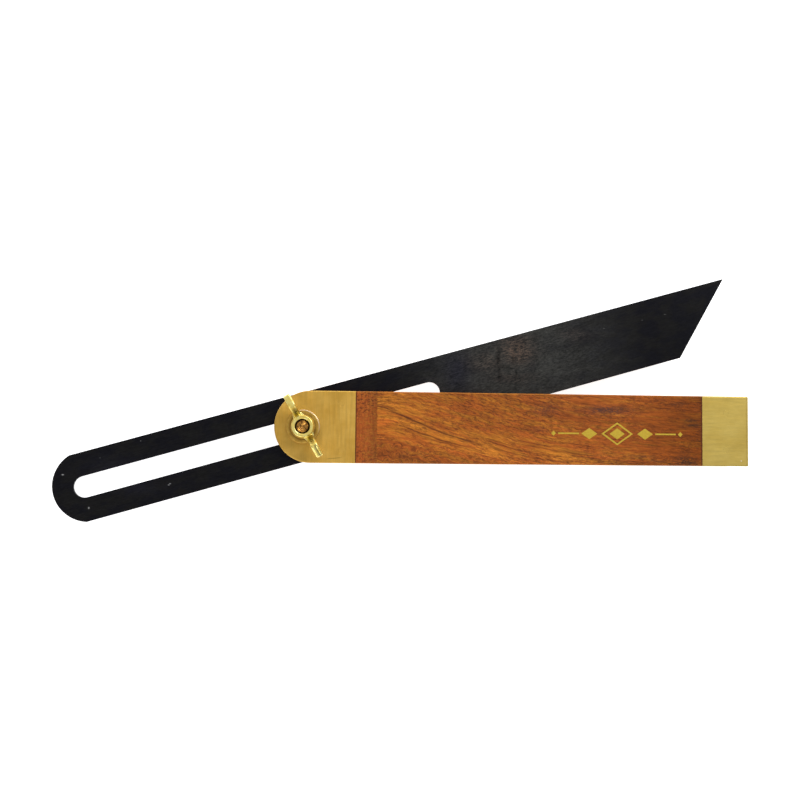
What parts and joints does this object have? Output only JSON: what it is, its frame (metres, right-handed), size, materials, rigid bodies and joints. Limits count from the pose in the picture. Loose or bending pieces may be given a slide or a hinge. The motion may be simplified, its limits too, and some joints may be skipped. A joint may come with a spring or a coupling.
{
  "type": "sliding bevel",
  "caption": "Sliding bevel: a wooden stock with brass head and tail holds a slotted steel blade that swings and slides, clamped by a wing nut.",
  "frame": {"origin": "on the pivot axis, in the plane of the stock's back face", "axes": "+X along the stock from the pivot to the tail, +Y across the stock towards the side the blade opens to, +Z out of the front face, towards the wing nut"},
  "size_m": [0.2239, 0.0822, 0.0255],
  "materials": {
    "stock_wood": "oiled sheesham, satin",
    "plate_brass": "belt-sanded across the stock",
    "cap_brass": "belt-sanded along the stock",
    "bolt_brass": "turned",
    "blued_steel": "blued, satin",
    "cast_brass": "cast and polished"
  },
  "bodies": {
    "stock": {"stock_body": "stock_wood", "head_plate_front": "plate_brass", "head_plate_back": "plate_brass", "head_pins_front": "plate_brass", "head_pins_back": "plate_brass", "tail_cap": "cap_brass", "tail_pins": "cap_brass", "pivot_bolt": "bolt_brass"},
    "slide_carrier": {"pivot_sleeve": "bolt_brass"},
    "blade": {"blade": "blued_steel"},
    "washer": {"nut_washer": "plate_brass"},
    "wing_nut": {"wing_nut": "cast_brass"}
  },
  "joints": [
    {"name": "blade_swing", "type": "hinge", "parent": "stock", "child": "slide_carrier", "pos_m": [0, 0, 0.008], "axis": [0, 0, 1], "range_deg": [-5.4, 333.4]},
    {"name": "blade_slide", "type": "slide", "parent": "slide_carrier", "child": "blade", "axis": [0.9613, 0.2756, 0], "range_m": [-0.0424, 0.0713]},
    {"name": "washer_lift", "type": "slide", "parent": "stock", "child": "washer", "axis": [0, 0, 1], "range_m": [0, 0.00161]},
    {"name": "wing_nut_turn", "type": "hinge", "parent": "washer", "child": "wing_nut", "pos_m": [0, 0, 0.017], "axis": [0, 0, 1], "range_deg": [0, 720]}
  ],
  "couplings": [
    {"joint": "washer_lift", "follows": "wing_nut_turn", "m_per_rad": 0.00012732}
  ]
}
